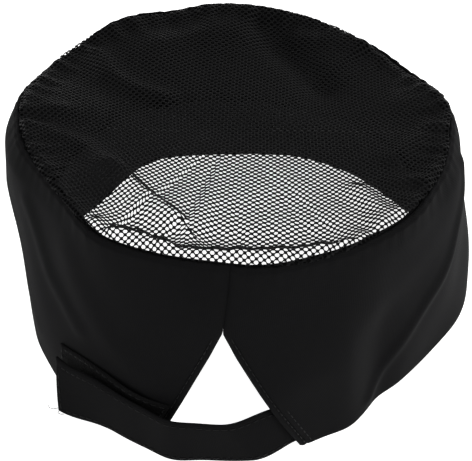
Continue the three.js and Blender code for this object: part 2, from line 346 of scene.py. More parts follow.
def edge_spacing(length, fine, reach, coarse):
    """Distances from 0 to length that are close together near both ends."""
    steps = [0.0]
    while steps[-1] < length / 2:
        share = min(steps[-1] / reach, 1.0)
        steps.append(steps[-1] + fine + (coarse - fine) * share ** 2)
    half = np.array(steps) * (length / 2) / steps[-1]
    return np.concatenate([half, length - half[-2::-1]])


def panel_grid(columns, rows, inset):
    """Bearings and shares of height over the strip, from the vent's right edge round the front to
    its left edge. Near the back its columns lean with the vent's edges."""
    s, up = np.meshgrid(columns, rows, indexing="ij")
    sewn = 1 - smooth(up * BACK_HEIGHT, VENT_HEIGHT, VENT_HEIGHT + 0.002)
    right = vent_edge(up, 1) - BACK + inset * sewn
    left = vent_edge(up, -1) - BACK - inset * sewn
    return BACK + 360 * s + right * (1 - smooth(s, 0.0, 0.16)) + left * smooth(s, 0.84, 1.0), up


def shell(name, outer, inner, closed=False):
    """A closed skin between two grids of points. Its uv map, in metres, is laid along the outer one."""
    n, m = outer.shape[:2]
    points = np.concatenate([outer.reshape(-1, 3), inner.reshape(-1, 3)])
    at = np.arange(n * m).reshape(n, m)
    below = at + n * m
    i = np.arange(n if closed else n - 1)[:, None]
    k = (i + 1) % n
    j = np.arange(m - 1)[None, :]
    quads = [
        (at[i, j], at[k, j], at[k, j + 1], at[i, j + 1]),
        (below[i, j + 1], below[k, j + 1], below[k, j], below[i, j]),
        (below[i, 0], below[k, 0], at[k, 0], at[i, 0]),
        (at[i, -1], at[k, -1], below[k, -1], below[i, -1]),
    ]
    if not closed:
        quads.append((at[0, j], at[0, j + 1], below[0, j + 1], below[0, j]))
        quads.append((below[-1, j], below[-1, j + 1], at[-1, j + 1], at[-1, j]))
    faces = np.concatenate([np.stack(np.broadcast_arrays(*q), axis=-1).reshape(-1, 4) for q in quads])
    ends = np.concatenate([outer, outer[:1]]) if closed else outer
    u = np.concatenate([[0.0], np.cumsum(np.linalg.norm(np.diff(ends, axis=0), axis=-1).mean(1))])
    v = np.concatenate([[0.0], np.cumsum(np.linalg.norm(np.diff(outer, axis=1), axis=-1).mean(0))])
    column = (faces % (n * m)) // m
    row = faces % m
    wraps = (column.max(1) - column.min(1)) > 1
    column = np.where(wraps[:, None] & (column == 0), n, column) if closed else column
    mesh = bpy.data.meshes.new(name)
    mesh.from_pydata(points.tolist(), [], faces.tolist())
    mesh.polygons.foreach_set("use_smooth", np.ones(len(faces), dtype=bool))
    layer = mesh.uv_layers.new(name="cloth")
    layer.uv.foreach_set("vector", np.stack([u[column], v[row]], axis=-1).astype(np.float32).ravel())
    return link(bpy.data.objects.new(name, mesh))


hem_length = 2 * math.pi * HEM_RADIUS
columns = edge_spacing(hem_length, 0.00035, 0.025, 0.0018) / hem_length
rows = edge_spacing(BAND_HEIGHT, 0.00030, 0.014, 0.0017) / BAND_HEIGHT
HALF_SEAM_GAP = 0.08
bearing, up = panel_grid(columns, rows, HALF_SEAM_GAP)
edge = np.minimum(columns, 1 - columns)[:, None] * hem_length + 0 * up
height = up * BAND_HEIGHT
edge_roll = TWILL * 0.55 * (near(edge, 0, 0.0006) + near(height, 0, 0.0007))
seam_dip = 0.0010 * near(up, 1.0, 0.012)
beside_vent = 1 - smooth(height, VENT_HEIGHT * 0.8, VENT_HEIGHT)
stitch_groove = 0.00036 * near(edge, STITCH_INSET, 0.0005) * beside_vent
back_seam = 0.0007 * near(edge, 0, 0.0020) * smooth(height, VENT_HEIGHT * 0.75, VENT_HEIGHT * 0.85)
lift = swell(bearing, up) + seam_pucker(bearing, up) - edge_roll - seam_dip - stitch_groove - back_seam
fold = TWILL + (LINING + GAP) * (1 - smooth(height, TURNED_HEM - 0.0004, TURNED_HEM + 0.0006))
outer = wall(bearing, up, lift)
inner = wall(bearing, up, lift - fold * (1 - 0.45 * near(edge, 0, 0.0006)))
outer[..., 2] = np.maximum(outer[..., 2], 0)
inner[..., 2] = np.maximum(inner[..., 2], 0)
band = shell("band_twill", outer, inner)
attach(band, "cap")
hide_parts("band_outer")


def group(name, inputs, outputs):
    """An empty shader node group with named sockets, and its nodes for input and output."""
    made = bpy.data.node_groups.new(name, "ShaderNodeTree")
    for label, kind, value in inputs:
        socket = made.interface.new_socket(name=label, in_out="INPUT", socket_type=kind)
        if value is not None:
            socket.default_value = value
    for label, kind in outputs:
        made.interface.new_socket(name=label, in_out="OUTPUT", socket_type=kind)
    return made, made.nodes.new("NodeGroupInput"), made.nodes.new("NodeGroupOutput")


def math_node(tree, operation, *values):
    """A Math node whose inputs are sockets or numbers. Gives its output."""
    node = tree.nodes.new("ShaderNodeMath")
    node.operation = operation
    for spot, value in enumerate(values):
        if isinstance(value, (int, float)):
            node.inputs[spot].default_value = value
        else:
            tree.links.new(value, node.inputs[spot])
    return node.outputs[0]


# Twill weave: fine ribs that climb across the cloth, crossed by the threads, with soft lint
weave, weave_in, weave_out = group(
    "twill_weave",
    [
        ("Cloth", "NodeSocketVector", None),
        ("Rib", "NodeSocketFloat", 0.0006),
        ("Lint", "NodeSocketFloat", 0.3),
    ],
    [("Height", "NodeSocketFloat"), ("Shade", "NodeSocketFloat")],
)
split = weave.nodes.new("ShaderNodeSeparateXYZ")
weave.links.new(weave_in.outputs["Cloth"], split.inputs[0])
across, along = split.outputs[0], split.outputs[1]
rib_width = weave_in.outputs["Rib"]
TURN = 2 * math.pi
rib_place = math_node(weave, "ADD", math_node(weave, "MULTIPLY", across, 0.45), along)
rib_turn = math_node(weave, "DIVIDE", math_node(weave, "MULTIPLY", rib_place, TURN), rib_width)
rib = math_node(weave, "SINE", rib_turn)
thread_turn = math_node(weave, "DIVIDE", math_node(weave, "MULTIPLY", across, TURN), rib_width)
thread = math_node(weave, "SINE", thread_turn)
lint = weave.nodes.new("ShaderNodeTexNoise")
lint.inputs["Scale"].default_value = 260
lint.inputs["Detail"].default_value = 6
weave.links.new(weave_in.outputs["Cloth"], lint.inputs["Vector"])
strong_ribs = math_node(weave, "MULTIPLY", rib, 0.35)
faint_threads = math_node(weave, "MULTIPLY", thread, 0.15)
ribs = math_node(weave, "ADD", strong_ribs, faint_threads)
lint_either_way = math_node(weave, "SUBTRACT", lint.outputs["Fac"], 0.5)
fuzz = math_node(weave, "MULTIPLY", lint_either_way, weave_in.outputs["Lint"])
surface = math_node(weave, "ADD", math_node(weave, "ADD", ribs, fuzz), 0.5)
weave.links.new(surface, weave_out.inputs["Height"])
weave.links.new(surface, weave_out.inputs["Shade"])


def between(nodes, links, factor, first, second):
    """A colour that runs from the first to the second as the factor goes from 0 to 1."""
    tint = nodes.new("ShaderNodeMix")
    tint.data_type = "RGBA"
    tint.inputs["A"].default_value = (*first, 1)
    tint.inputs["B"].default_value = (*second, 1)
    links.new(factor, tint.inputs["Factor"])
    return tint.outputs["Result"]


def cloth_material(name, dark, light, rib_width, depth, lint_share, roughness, sheen):
    """Woven cloth: its colour between two shades by the weave, and the weave as a bump."""
    material = bpy.data.materials.new(name)
    nodes, links, shader, output = tidy_nodes(material)
    place = nodes.new("ShaderNodeUVMap")
    place.uv_map = "cloth"
    woven = nodes.new("ShaderNodeGroup")
    woven.node_tree = weave
    woven.inputs["Rib"].default_value = rib_width
    woven.inputs["Lint"].default_value = lint_share
    links.new(place.outputs[0], woven.inputs["Cloth"])
    links.new(between(nodes, links, woven.outputs["Shade"], dark, light), shader.inputs["Base Color"])
    bump = nodes.new("ShaderNodeBump")
    bump.inputs["Strength"].default_value = 0.7
    bump.inputs["Distance"].default_value = depth
    links.new(woven.outputs["Height"], bump.inputs["Height"])
    links.new(bump.outputs[0], shader.inputs["Normal"])
    shader.inputs["Roughness"].default_value = roughness
    shader.inputs["Specular IOR Level"].default_value = 0.06
    shader.inputs["Sheen Weight"].default_value = sheen
    shader.inputs["Sheen Roughness"].default_value = 0.5
    return material


TWILL_DARK = (0.0022, 0.0022, 0.0024)
TWILL_LIGHT = (0.0056, 0.0056, 0.0060)
twill = cloth_material(
    "black_twill", TWILL_DARK, TWILL_LIGHT,
    rib_width=0.0007, depth=0.00012, lint_share=0.5, roughness=0.85, sheen=0.0,
)
band.data.materials.append(twill)

# --- The lining ----------------------------------------------------------------------------
# A second strip of the same twill inside the band. It is caught in the crown seam and in the
# vent's edges, and its lower edge lies under the band's turned hem.

LINING_INSET = 0.55
lining_rows = rows[rows * BAND_HEIGHT > TURNED_HEM + GAP]
lining_rows = np.concatenate([[(TURNED_HEM + GAP) / BAND_HEIGHT], lining_rows[1:-2], [0.996]])
bearing, up = panel_grid(columns[::2], lining_rows, LINING_INSET)
edge = edge_distance(bearing, up)
lift = swell(bearing, up) - 0.0010 * near(up, 1.0, 0.012)
lining_out = lift - TWILL - GAP - 0.0001 * near(edge, 0, 0.0006)
lining = shell("band_lining_cloth", wall(bearing, up, lining_out), wall(bearing, up, lining_out - LINING))
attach(lining, "cap")
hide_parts("band_lining")
lining.data.materials.append(twill)

# --- The sweatband -------------------------------------------------------------------------
# A folded strip of brushed cotton round the forehead and the sides, sewn in along its lower
# edge, with its upper edge free.

SWEATBAND_HEIGHT = 0.030
SWEATBAND_BOTTOM = 0.002
SWEATBAND = 0.0012
hem_inside = -(TWILL + 2 * GAP + LINING)
SWEATBAND_START, SWEATBAND_END = -58.0, 238.0
along = np.linspace(SWEATBAND_START, SWEATBAND_END, 330)
heights = SWEATBAND_BOTTOM + edge_spacing(SWEATBAND_HEIGHT, 0.0003, 0.008, 0.0016)
bearing, height = np.meshgrid(along, heights, indexing="ij")
up = height / seam_height(bearing)
free = smooth(height, SWEATBAND_BOTTOM + 0.012, SWEATBAND_BOTTOM + SWEATBAND_HEIGHT)
ripple = 0.0006 * (1 + np.sin(np.radians(bearing) * 23 + 1.3 * np.sin(np.radians(bearing) * 5))) * free
rim = SWEATBAND * 0.5 * (near(height, heights[0], 0.0005) + near(height, heights[-1], 0.0005))
face = swell(bearing, up) + hem_inside - ripple
sweat_outer = wall(bearing, up, face - rim * 0.5)
sweat_inner = wall(bearing, up, face - SWEATBAND + rim * 0.5)
sweatband = shell("sweatband_cotton", sweat_outer, sweat_inner)
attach(sweatband, "cap")
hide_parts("sweatband")
cotton = cloth_material(
    "brushed_cotton", (0.008, 0.008, 0.009), (0.017, 0.017, 0.018),
    rib_width=0.0010, depth=0.0001, lint_share=1.4, roughness=0.9, sheen=0.10,
)
sweatband.data.materials.append(cotton)

# --- The crown net -------------------------------------------------------------------------
# A disc of open knitted net, gathered a little as it is sewn into the band. Its edge goes down
# inside the band. It is soft, so it falls into folds and stands up only towards the forehead.

# From hole to hole along a row, between rows, one hole, the yarn's depth, how far inside the
# band's face the net's edge runs, how far its middle hangs, and the edge past the seam
NET_PITCH = 0.00288
NET_ROW = 0.00130
HOLE_WIDTH = 0.00181
HOLE_HEIGHT = 0.00142
YARN_DEEP = 0.00036
NET_EDGE = -0.0016
CROWN_SAG = 0.0050
FLANGE = 0.0013

# Folds in the net: places along each as (x, y) from the cap's middle, in metres, then how wide
# it is on its left and on its right, going along it, and how far it stands up
NET_FOLDS = [
    ([(-0.091, -0.014), (-0.079, -0.015), (-0.064, -0.022), (-0.054, -0.033), (-0.048, -0.040)],
     0.0045, 0.0060, 0.0020),
    ([(-0.047, -0.038), (-0.042, -0.045), (-0.032, -0.058), (-0.022, -0.070)], 0.0025, 0.0090, 0.0036),
    ([(-0.022, -0.070), (-0.019, -0.078), (-0.020, -0.090)], 0.0050, 0.0060, 0.0010),
    ([(-0.051, -0.084), (-0.047, -0.081), (-0.042, -0.079), (-0.034, -0.081), (-0.025, -0.089),
      (-0.021, -0.095)], 0.0022, 0.0045, 0.0038),
    ([(-0.038, -0.091), (-0.034, -0.087)], 0.0018, 0.0024, 0.0014),
    ([(-0.020, -0.097), (-0.010, -0.092), (0.002, -0.090), (0.015, -0.087), (0.026, -0.085),
      (0.038, -0.083), (0.046, -0.081), (0.052, -0.080)], 0.0024, 0.0060, 0.0030),
    ([(0.046, -0.044), (0.050, -0.051), (0.055, -0.062)], 0.0035, 0.0050, 0.0020),
    ([(-0.070, -0.045), (-0.053, -0.038)], 0.0050, 0.0050, 0.0010),
    ([(-0.088, 0.004), (-0.075, 0.001)], 0.0050, 0.0050, 0.0018),
    ([(-0.066, 0.050), (-0.058, 0.033), (-0.049, 0.024), (-0.036, 0.018)], 0.0055, 0.0055, 0.0026),
    ([(0.004, 0.072), (0.016, 0.051), (0.029, 0.030)], 0.0080, 0.0080, -0.0036),
    ([(0.019, 0.064), (0.032, 0.064), (0.042, 0.060)], 0.0060, 0.0060, 0.0020),
    ([(0.059, -0.023), (0.073, -0.002)], 0.0055, 0.0055, 0.0022),
    ([(0.061, -0.040), (0.075, -0.037)], 0.0050, 0.0050, 0.0018),
    ([(-0.040, 0.060), (-0.020, 0.066), (0.000, 0.068)], 0.0080, 0.0080, 0.0010),
]


def along_path(x, y, path, left_width, right_width):
    """1 on a line through places seen from above, falling to nothing on its two sides."""
    best, share_there = np.full(np.shape(x), 1.0), np.zeros(np.shape(x))
    for (x0, y0), (x1, y1) in zip(path, path[1:]):
        run = np.array([x1 - x0, y1 - y0])
        share = np.clip(((x - x0) * run[0] + (y - y0) * run[1]) / (run @ run), 0, 1)
        off = np.hypot(x - x0 - share * run[0], y - y0 - share * run[1])
        on_left = run[0] * (y - y0) - run[1] * (x - x0) > 0
        here = near(off, 0, np.where(on_left, left_width, right_width))
        share_there = np.where(off < best, here, share_there)
        best = np.minimum(best, off)
    return share_there


def crown_surface(bearing, share):
    """The net at shares of the way from the crown's middle to the seam."""
    bearing, share = np.broadcast_arrays(bearing, share)
    edge = wall(bearing, 1.0, NET_EDGE)
    x = SEAM_SHIFT[0] + (edge[..., 0] - middle[0] - SEAM_SHIFT[0]) * share
    y = SEAM_SHIFT[1] + (edge[..., 1] - middle[1] - SEAM_SHIFT[1]) * share
    sag = CROWN_SAG * (1 - share ** 2)
    roll = 0.0008 * near(share, 0.95, 0.05) * near(y, -0.100, 0.045)
    dip = 0.0020 * near(share, 0.82, 0.08) * near(y, -0.090, 0.030)
    edge_roll = 0.0010 * near(share, 0.965, 0.035)
    folds = sum(height * along_path(x, y, path, left, right) for path, left, right, height in NET_FOLDS)
    slow = 0.0010 * np.sin(x / 0.013 + 2 * np.sin(y / 0.021)) * np.sin(y / 0.017 + 1.0)
    b = np.radians(bearing)
    gather = 0.0005 * np.sin(61 * b + 2 * np.sin(5 * b)) + 0.0004 * np.sin(37 * b)
    gather = gather * smooth(share, 0.80, 0.97) * (1 - smooth(share, 0.985, 1.0))
    z = edge[..., 2] * share ** 3 + (BAND_HEIGHT - SEAM_SLOPE * y) * (1 - share ** 3)
    z = z - sag + roll - dip + edge_roll + gather + (folds + slow) * (1 - smooth(share, 0.965, 1.0))
    return np.stack([middle[0] + x, middle[1] + y, z], axis=-1)


# The net is laid out evenly along the surface, so that its holes keep their size over the folds
NET_RINGS = 200
net_bearings = np.arange(0, 361, 1.0)
dense = np.sin(np.linspace(0, math.pi / 2, 700))
meridians = crown_surface(net_bearings[:, None], dense[None, :])
steps = np.linalg.norm(np.diff(meridians, axis=1), axis=-1)
gone = np.concatenate([np.zeros((361, 1)), np.cumsum(steps, axis=1)], axis=1)
net_radius = gone[:, -1].mean()
rings = np.linspace(0, 1, NET_RINGS + 1)
net_grid = np.empty((361, NET_RINGS + 1, 3))
for row in range(361):
    for axis in range(3):
        net_grid[row, :, axis] = np.interp(rings * gone[row, -1], gone[row], meridians[row, :, axis])
flange_up = 1 - np.arange(1, 6) * net_radius / NET_RINGS / BAND_HEIGHT
flange_grid = wall(net_bearings[:, None], flange_up[None, :], hem_inside - GAP)
net_grid = np.concatenate([net_grid, flange_grid], axis=1)
along_b = np.gradient(net_grid, axis=0)
along_b[0] = along_b[-1] = (net_grid[1] - net_grid[-2]) / 2
along_r = np.gradient(net_grid, axis=1)
net_out = np.cross(along_r, along_b)
net_out[:, :2] = (0, 0, 1)
net_out /= np.linalg.norm(net_out, axis=-1, keepdims=True)


def on_net(flat):
    """Points and outward directions on the net for places on its flat disc, in metres."""
    reach = np.hypot(flat[:, 0], flat[:, 1]) / net_radius * NET_RINGS
    bearing = np.degrees(np.arctan2(flat[:, 1], flat[:, 0])) % 360
    i = np.clip(bearing.astype(int), 0, 359)
    j = np.clip(reach.astype(int), 0, net_grid.shape[1] - 2)
    a, b = (bearing - i)[:, None], (reach - j)[:, None]
    found = []
    for grid in (net_grid, net_out):
        found.append(
            (grid[i, j] * (1 - a) + grid[i + 1, j] * a) * (1 - b)
            + (grid[i, j + 1] * (1 - a) + grid[i + 1, j + 1] * a) * b
        )
    return found[0], found[1] / np.linalg.norm(found[1], axis=-1, keepdims=True)


# Each hole is six-sided, with its flat ends facing the rows before and behind it
half = NET_PITCH / 2
reach = int((net_radius + FLANGE) / NET_ROW) + 2
i, j = np.meshgrid(np.arange(-reach, reach + 1), np.arange(-reach, reach + 1), indexing="ij")
is_hole = ((i + j) % 2 == 1) & (np.hypot(i * half, j * NET_ROW) < net_radius + FLANGE)
hole_number = np.full(i.shape, -1)
hole_number[is_hole] = np.arange(is_hole.sum())
centres = np.stack([i[is_hole] * half, j[is_hole] * NET_ROW], axis=-1)
long_way, flat_way, flat_end = HOLE_WIDTH / 2, HOLE_HEIGHT / 2, HOLE_WIDTH * 0.26
ring = np.array([
    (long_way, 0), (flat_end, flat_way), (-flat_end, flat_way),
    (-long_way, 0), (-flat_end, -flat_way), (flat_end, -flat_way),
])
flat = (centres[:, None, :] + ring[None]).reshape(-1, 2)
EAST, NORTH_EAST, NORTH_WEST, WEST, SOUTH_WEST, SOUTH_EAST = range(6)


def hole_at(di, dj):
    """The number of the hole at a step away from each lattice place, or -1."""
    shifted = np.full(hole_number.shape, -1)
    n = hole_number.shape[0]
    a0, a1 = max(0, -di), n - max(0, di)
    b0, b1 = max(0, -dj), n - max(0, dj)
    shifted[a0:a1, b0:b1] = hole_number[a0 + di:a1 + di, b0 + dj:b1 + dj]
    return shifted


# Four holes meet at a knot, and a strand of yarn runs between each hole and its slanting neighbour
knot_here = (i + j) % 2 == 0
east, west, north, south = hole_at(1, 0), hole_at(-1, 0), hole_at(0, 1), hole_at(0, -1)
whole_knot = knot_here & (east >= 0) & (west >= 0) & (north >= 0) & (south >= 0)
e, w, n, s = (found[whole_knot] * 6 for found in (east, west, north, south))
knots = np.stack([
    e + WEST, n + SOUTH_EAST, n + SOUTH_WEST, w + EAST, s + NORTH_WEST, s + NORTH_EAST,
], axis=-1)
strands = []
for di, dj, mine, theirs in (
    (1, 1, (EAST, NORTH_EAST), (SOUTH_WEST, WEST)),
    (-1, 1, (NORTH_WEST, WEST), (EAST, SOUTH_EAST)),
):
    other = hole_at(di, dj)
    there = (hole_number >= 0) & (other >= 0)
    ends = (np.roll(whole_knot, (-di, 0), (0, 1)) | np.roll(whole_knot, (0, -dj), (0, 1)))
    there &= ends
    a, b = hole_number[there] * 6, other[there] * 6
    strands.append(np.stack([a + mine[1], a + mine[0], b + theirs[0], b + theirs[1]], axis=-1))
strands = np.concatenate(strands)
# An edge with a face on one side only is the side of a hole, and gets a wall through the yarn
edges = {}
for faces in (knots, strands):
    for k in range(faces.shape[1]):
        first, second = faces[:, k], faces[:, (k + 1) % faces.shape[1]]
        for a, b in zip(first.tolist(), second.tolist()):
            edges[(a, b)] = edges.get((a, b), 0) + 1
open_edges = np.array([(a, b) for a, b in edges if (b, a) not in edges])
used = np.zeros(len(flat), dtype=bool)
used[knots.ravel()] = True
used[strands.ravel()] = True
renumber = np.cumsum(used) - 1
count = int(used.sum())
place, out = on_net(flat[used])
points = np.concatenate([place + out * YARN_DEEP / 2, place - out * YARN_DEEP / 2])
knots, strands, open_edges = renumber[knots], renumber[strands], renumber[open_edges]
start_of, end_of = open_edges[:, 0], open_edges[:, 1]
walls = np.stack([end_of, start_of, start_of + count, end_of + count], axis=-1)
faces = knots.tolist() + strands.tolist() + (knots[:, ::-1] + count).tolist()
faces += (strands[:, ::-1] + count).tolist() + walls.tolist()
net_mesh = bpy.data.meshes.new("crown_net_yarn")
net_mesh.from_pydata(points.tolist(), [], faces)
net_mesh.polygons.foreach_set("use_smooth", np.ones(len(faces), dtype=bool))
net = link(bpy.data.objects.new("crown_net_yarn", net_mesh))
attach(net, "cap")
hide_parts("crown_net")


def yarn_material(name, dark, light, scale, detail, roughness, specular):
    """Spun yarn: its colour between two shades, from fibre to fibre."""
    material = bpy.data.materials.new(name)
    nodes, links, shader, output = tidy_nodes(material)
    place = nodes.new("ShaderNodeNewGeometry")
    fibre = nodes.new("ShaderNodeTexNoise")
    fibre.inputs["Scale"].default_value = scale
    fibre.inputs["Detail"].default_value = detail
    links.new(place.outputs["Position"], fibre.inputs["Vector"])
    links.new(between(nodes, links, fibre.outputs["Fac"], dark, light), shader.inputs["Base Color"])
    shader.inputs["Roughness"].default_value = roughness
    shader.inputs["Specular IOR Level"].default_value = specular
    return material, nodes, links, shader, fibre


net_look, nodes, links, shader, fibre = yarn_material(
    "black_net", (0.0022, 0.0022, 0.0024), (0.0058, 0.0058, 0.0062),
    scale=2600, detail=3, roughness=0.55, specular=0.08,
)
fibre_bump = nodes.new("ShaderNodeBump")
fibre_bump.inputs["Strength"].default_value = 0.5
fibre_bump.inputs["Distance"].default_value = 0.00008
links.new(fibre.outputs["Fac"], fibre_bump.inputs["Height"])
links.new(fibre_bump.outputs[0], shader.inputs["Normal"])
net_mesh.materials.append(net_look)

# --- The crown seam's binding --------------------------------------------------------------
# A bias strip of the twill, folded over the raw edges of net, band and lining inside the seam.

BINDING = 0.0008
BINDING_HEIGHT = 0.010
binding_rows = edge_spacing(BINDING_HEIGHT, 0.0003, 0.004, 0.0012)
bearing, height_down = np.meshgrid(np.arange(0, 360, 0.9), binding_rows, indexing="ij")
up = 1 - (BINDING_HEIGHT + GAP - height_down) / BAND_HEIGHT
rim = near(height_down, 0, 0.0004) + near(height_down, BINDING_HEIGHT, 0.0004)
b = np.radians(bearing)
ruck = 0.00018 * np.sin(90 * b + 2 * np.sin(11 * b)) * near(height_down, BINDING_HEIGHT * 0.3, 0.004)
face = swell(bearing, up) + hem_inside - GAP - YARN_DEEP - 0.0004 + ruck
binding_outer = wall(bearing, up, face - rim * BINDING * 0.25)
binding_inner = wall(bearing, up, face - BINDING + rim * BINDING * 0.25)
binding = shell("crown_seam_binding", binding_outer, binding_inner, closed=True)
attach(binding, "cap")
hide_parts("crown_seam_tape")
binding.data.materials.append(twill)

# --- The loop tape -------------------------------------------------------------------------
# Soft looped tape sewn round its edges on the outside of the left panel. The strap closes on it.

STRAP_END = -135.2
TAPE = 0.0010
LOOP_BOTTOM = 0.0004
LOOP_HEIGHT = 0.025


def loop_face(s, v, out):
    """A place on the loop tape, by shares along and up it, and out from its back."""
    height = LOOP_BOTTOM + LOOP_HEIGHT * v + 0.0068 * near(s, 0.60, 0.42)
    up = height / BACK_HEIGHT
    start = vent_edge(up, -1) - 2.2
    bearing = start + (STRAP_END - 1.8 - start) * s
    lifted_corner = 0.0010 * near(s, 0.30, 0.20) * smooth(v, 0.7, 1.0)
    return wall(bearing, up, swell(bearing, up) + GAP + lifted_corner + out)


along_tape = edge_spacing(1.0, 0.006, 0.10, 0.02)
up_tape = edge_spacing(1.0, 0.012, 0.15, 0.05)
s, v = np.meshgrid(along_tape, up_tape, indexing="ij")
rim = (near(s, 0, 0.010) + near(s, 1, 0.010) + near(v, 0, 0.02) + near(v, 1, 0.02)).clip(0, 1)
loop_outer = loop_face(s, v, TAPE * (1 - 0.5 * rim))
loop_inner = loop_face(s, v, 0.0)
loop_tape = shell("loop_tape_pile", loop_outer, loop_inner)
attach(loop_tape, "cap")
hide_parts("loop_tape")


def pile_material(name, dark, light, size, depth, roughness):
    """Pile or hooks that stand up close together, each a small round bump."""
    material = bpy.data.materials.new(name)
    nodes, links, shader, output = tidy_nodes(material)
    place = nodes.new("ShaderNodeUVMap")
    place.uv_map = "cloth"
    dots = nodes.new("ShaderNodeTexVoronoi")
    dots.inputs["Scale"].default_value = 1 / size
    links.new(place.outputs[0], dots.inputs["Vector"])
    links.new(between(nodes, links, dots.outputs["Distance"], light, dark), shader.inputs["Base Color"])
    bump = nodes.new("ShaderNodeBump")
    bump.inputs["Distance"].default_value = depth
    bump.invert = True
    links.new(dots.outputs["Distance"], bump.inputs["Height"])
    links.new(bump.outputs[0], shader.inputs["Normal"])
    shader.inputs["Roughness"].default_value = roughness
    shader.inputs["Specular IOR Level"].default_value = 0.1
    return material


# The loop pile's colours are set darker than the black twill's. This is painted shade for the shadow that
# the strap's top edge casts over the tape.
loops = pile_material(
    "loop_pile", (0.0012, 0.0012, 0.0012), (0.0036, 0.0036, 0.0038),
    size=0.0007, depth=0.0004, roughness=0.95,
)
loop_tape.data.materials.append(loops)

# --- The strap -----------------------------------------------------------------------------
# A folded strip of twill, stitched near its edges. It is sewn inside the right panel, comes out
# from behind the vent's right edge, crosses the vent and closes over the left panel.

STRAP = 0.0018
STRAP_LIFT = 0.0010
STRAP_WIDTH = 0.0238
STRAP_LENGTH = 0.112
STRAP_ROOT = -65.5
STRAP_STITCH = 0.0022
strap_inside = hem_inside - GAP - STRAP / 2
strap_outside = 3 * GAP + 2 * TAPE + STRAP / 2


def strap_face(bearing, share, out):
    """A place on the strap, a share of the way up its width and out from its middle layer."""
    rides_up = 0.0027 * near(bearing, -121, 7.5) + 0.0010 * near(bearing, -122, 8) * share
    droops = 0.0014 * smooth(-bearing, 125, 136) * share
    height = STRAP_LIFT + STRAP_WIDTH * share + rides_up - droops
    up = height / BACK_HEIGHT
    crossed = smooth(vent_edge(up, 1) - bearing, -0.5, 12.0)
    bow = 0.0026 * near(bearing, -103, 5)
    top_lean = 0.0026 * near(bearing, -93, 9) * share
    bottom_flare = 0.0055 * smooth(-bearing, 117, 136) * (1 - share)
    middle_layer = strap_inside + (strap_outside - strap_inside) * crossed + bow + top_lean + bottom_flare
    return wall(bearing, up, middle_layer + 0.9 * swell(bearing, up) + out)


strap_s = edge_spacing(1.0, 0.004, 0.05, 0.0075)
strap_v = edge_spacing(1.0, 0.014, 0.25, 0.045)
s, v = np.meshgrid(strap_s, strap_v, indexing="ij")
strap_end = STRAP_END + 3.0 - 4.0 * v
bearing = STRAP_ROOT + (strap_end - STRAP_ROOT) * s
strap_edge = np.minimum(np.minimum(s, 1 - s) * STRAP_LENGTH, np.minimum(v, 1 - v) * STRAP_WIDTH)
thick = STRAP / 2 * (1 - 0.55 * near(strap_edge, 0, 0.0006))
thick = thick - 0.00016 * near(strap_edge, STRAP_STITCH, 0.0005)
strap = shell("strap_twill", strap_face(bearing, v, thick), strap_face(bearing, v, -thick))
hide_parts("strap", "strap_root")
strap.data.materials.append(twill)
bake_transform(strap)

# --- The hook tape -------------------------------------------------------------------------
# Hook tape sewn round its edges to the inside of the strap's free end, facing the loops.

HOOK_LENGTH = 0.045
HOOK_MARGIN = 0.003
hook_end = STRAP_END + 2.6
hook_start = hook_end + HOOK_LENGTH / AROUND / 1.05
along_tape = edge_spacing(1.0, 0.012, 0.12, 0.03)
up_tape = edge_spacing(1.0, 0.014, 0.2, 0.06)
s, v = np.meshgrid(along_tape, up_tape, indexing="ij")
bearing = hook_end + (hook_start - hook_end) * s
share = (HOOK_MARGIN + (STRAP_WIDTH - 2 * HOOK_MARGIN) * v) / STRAP_WIDTH
rim = (near(s, 0, 0.02) + near(s, 1, 0.02) + near(v, 0, 0.03) + near(v, 1, 0.03)).clip(0, 1)
hook_back = -STRAP / 2 - 0.00015
hook_outer = strap_face(bearing, share, hook_back)
hook_inner = strap_face(bearing, share, hook_back - TAPE * (1 - 0.4 * rim))
hook_tape = shell("hook_tape_hooks", hook_outer, hook_inner)
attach(hook_tape, "strap")
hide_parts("hook_tape")
hooks = pile_material(
    "hook_pile", (0.006, 0.006, 0.006), (0.020, 0.020, 0.021),
    size=0.0009, depth=0.0003, roughness=0.6,
)
hook_tape.data.materials.append(hooks)

# --- The care label ------------------------------------------------------------------------
# A blank satin ribbon, folded under at its two ends and sewn flat to the lining at the back left.

LABEL = 0.0003
low, high = (np.array(corner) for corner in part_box("care_label"))
label_start, label_end = (
    math.degrees(math.atan2(low[1] - middle[1], high[0] - middle[0])),
    math.degrees(math.atan2(high[1] - middle[1], low[0] - middle[0])),
)
s, v = np.meshgrid(edge_spacing(1.0, 0.015, 0.1, 0.03), edge_spacing(1.0, 0.02, 0.1, 0.05), indexing="ij")
bearing = label_start + (label_end - label_start) * s
height = low[2] + (high[2] - low[2]) * v
up = height / seam_height(bearing)
doubled = LABEL * (near(s, 0.04, 0.03) + near(s, 0.96, 0.03))
wavy = 0.0003 * np.sin(s * 9.0 + v * 2.0) * smooth(v, 0, 0.3) * (1 - smooth(v, 0.7, 1.0))
face = swell(bearing, up) + hem_inside - 0.0001
label_outer = wall(bearing, up, face)
label_inner = wall(bearing, up, face - LABEL - doubled - np.abs(wavy))
label = shell("care_label_satin", label_outer, label_inner)
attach(label, "cap")
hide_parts("care_label")
satin = cloth_material(
    "white_satin", (0.72, 0.71, 0.68), (0.82, 0.81, 0.78),
    rib_width=0.0003, depth=0.00003, lint_share=0.1, roughness=0.45, sheen=0.1,
)
label.data.materials.append(satin)

# --- The stitches --------------------------------------------------------------------------
# Black sewing thread, in rows of short stitches: along the vent's edges, round the strap and the
# loop tape, along the sweatband, and at the label's ends. A few cut ends were left hanging.

# Length of a stitch, the gap to the next, and the thread's half width
STITCH = 0.0026
STITCH_GAP = 0.0007
THREAD = 0.00019


